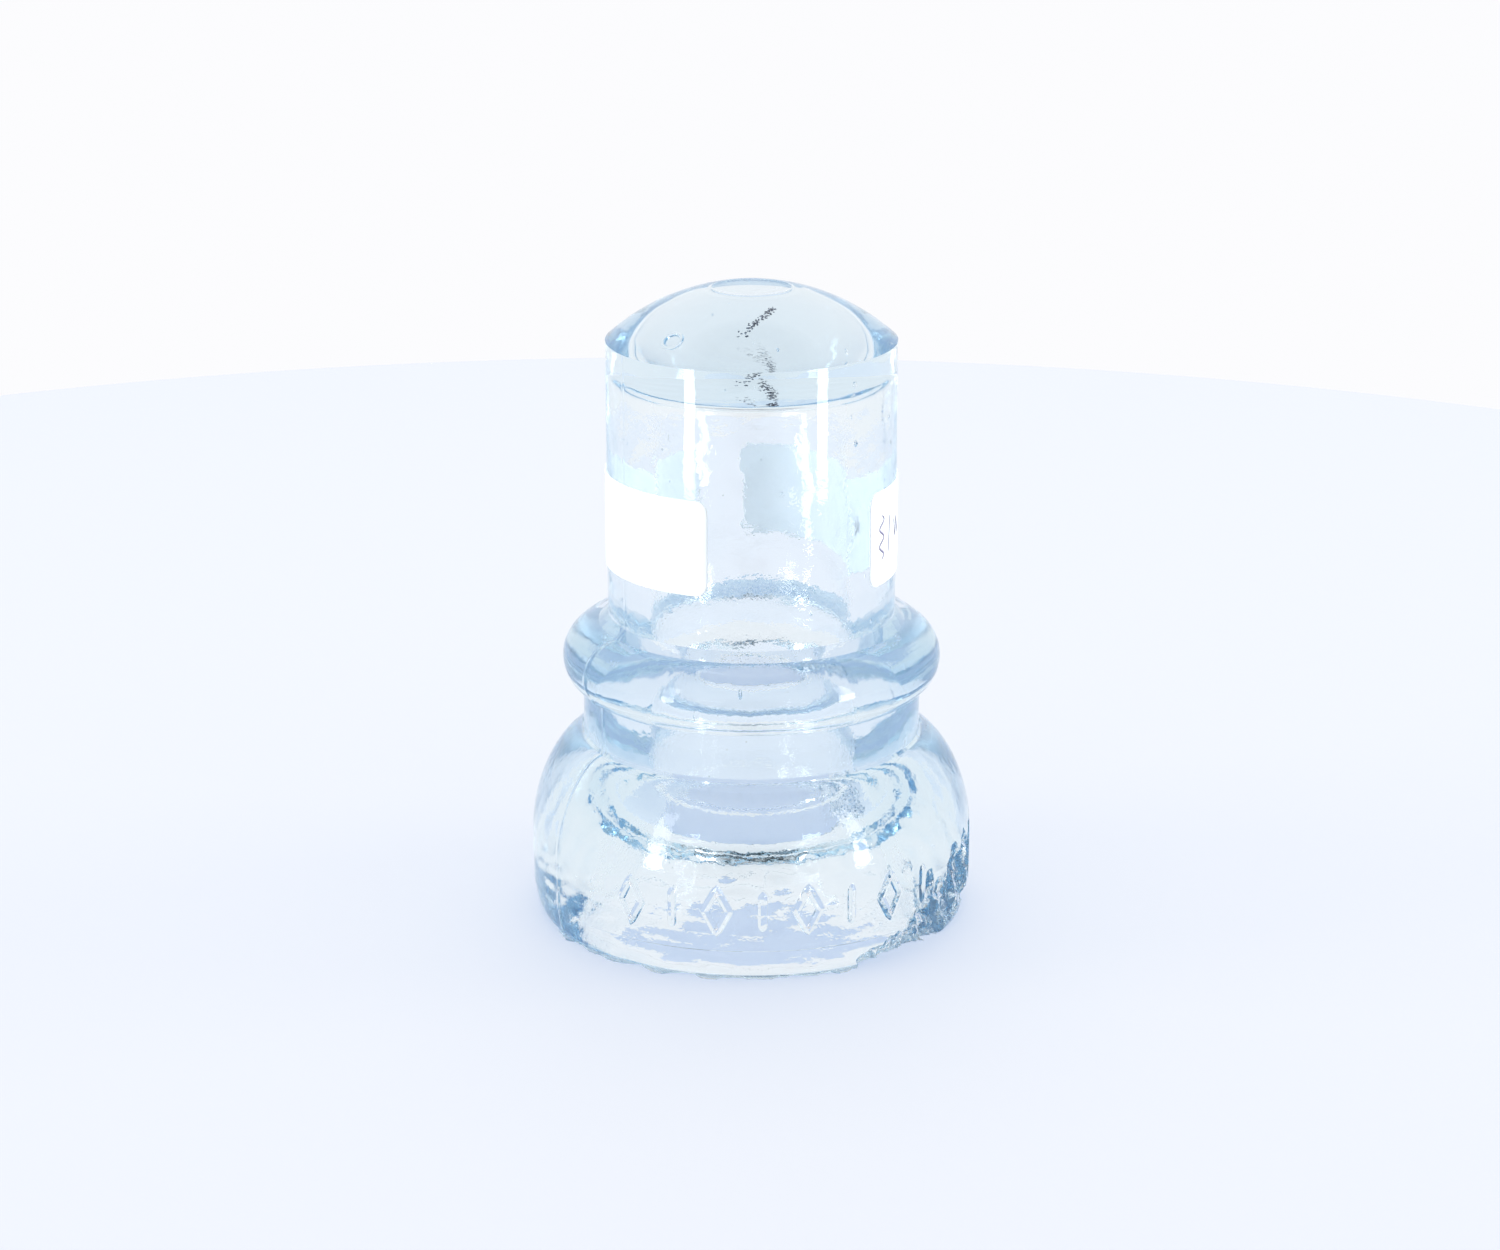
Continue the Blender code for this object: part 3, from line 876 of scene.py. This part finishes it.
def strip_light(azimuth_deg):
    """A narrow lamp that stands on the table beside the view, so its reflections run down the crown."""
    across, out = math.sin(math.radians(azimuth_deg)), math.cos(math.radians(azimuth_deg))
    for name, low, high, glow in STRIPS:
        place = (STRIP_DISTANCE * across, -STRIP_DISTANCE * out, (low + high) / 2)
        energy = glow * math.pi * STRIP_WIDTH * (high - low)
        strip = lamp(name, place, (0, 0, place[2]), STRIP_WIDTH, high - low, energy)
        strip.visible_diffuse = False


def soft_fill():
    """Broad lamps that light only the paper and the table: two low ones for the labels, one overhead."""
    for name, place, width, height, energy in FILLS:
        fill = lamp(name, place, FILL_AIM, width, height, energy)
        fill.visible_glossy = False
        fill.visible_transmission = False
        fill.visible_camera = False


def white_room():
    """Soft white light from all round, dim behind the camera and in a patch straight overhead."""
    world = bpy.data.worlds.new("white_room")
    bpy.context.scene.world = world
    world.use_nodes = True
    tree = world.node_tree
    coordinates = tree.nodes.new("ShaderNodeTexCoord")
    split = tree.nodes.new("ShaderNodeSeparateXYZ")
    tree.links.new(coordinates.outputs["Generated"], split.inputs["Vector"])
    spread = tree.nodes.new("ShaderNodeMapRange")
    spread.inputs["From Min"].default_value = -1.0
    spread.inputs["From Max"].default_value = 1.0
    tree.links.new(split.outputs["Y"], spread.inputs["Value"])
    stops = (
        (0.0, (0.02, 0.022, 0.03)),
        (0.02, (0.05, 0.055, 0.065)),
        (0.04, (0.3, 0.31, 0.33)),
        (0.08, (0.5, 0.505, 0.51)),
        (0.25, (0.53, 0.53, 0.535)),
        (0.5, (0.495, 0.497, 0.503)),
        (1.0, (0.486, 0.4865, 0.495)),
    )
    background = tree.nodes["Background"]
    paths = tree.nodes.new("ShaderNodeLightPath")
    unscattered = range_node(tree, paths.outputs["Diffuse Depth"], (0.0, 1.0), (1.0, 0.0))
    overhead = range_node(tree, split.outputs["Z"], (0.84, 0.95), (0.0, -1.9))
    fill = range_node(tree, unscattered, (0.0, 1.0), (3.9, 2.0))
    strength = add_node(tree, fill, times_node(tree, unscattered, overhead))
    tree.links.new(strength, background.inputs["Strength"])
    tree.links.new(ramp_node(tree, spread.outputs["Result"], stops), background.inputs["Color"])


def camera():
    """The viewpoint, a little above the dome and looking down."""
    data = bpy.data.cameras.new("camera")
    data.sensor_width = CAMERA_SENSOR
    data.lens = CAMERA_LENS
    data.clip_start = 0.02
    made = bpy.data.objects.new("camera", data)
    bpy.context.scene.collection.objects.link(made)
    made.location = CAMERA_PLACE
    made.rotation_euler = (math.radians(90 - CAMERA_TILT_DEG), 0, 0)
    bpy.context.scene.camera = made


def light_paths():
    """Enough bounces for light to find its way through thick glass."""
    settings = bpy.context.scene.cycles
    settings.max_bounces = 40
    settings.glossy_bounces = 32
    settings.transmission_bounces = 40
    settings.transparent_max_bounces = 16
    bpy.context.scene.view_settings.view_transform = "Standard"


def wear(piece, finish, slot, *nodes):
    """Gives the piece its material and its body, and hides the CAD nodes that it stands for."""
    piece.data.materials.clear()
    piece.data.materials.append(finish)
    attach(piece, BODY)
    if nodes:
        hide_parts(*nodes)


camera()
light_paths()
white_room()
floor()
for azimuth_deg in STRIP_AZIMUTHS_DEG:
    strip_light(azimuth_deg)
soft_fill()

glass = turned_glass()
combine(glass, [*skirt_marks(), dome_ring(), foot_flash()], "UNION")
combine(glass, chip_cutters(), "DIFFERENCE")
seed_bubbles(glass)
finish_glass_mesh(glass)
wear(glass, glass_material(), "glass", "glass_body")
wear(dome_streak(), streak_material(), "glass")

paper = paper_material()
wear(paper_label("blank_paper_label", BLANK_LABEL), paper, "paper", "blank_label")
wear(paper_label("priced_paper_label", PRICE_LABEL), paper, "paper", "price_label")
wear(pen_mark(), ink_material(), "paper")
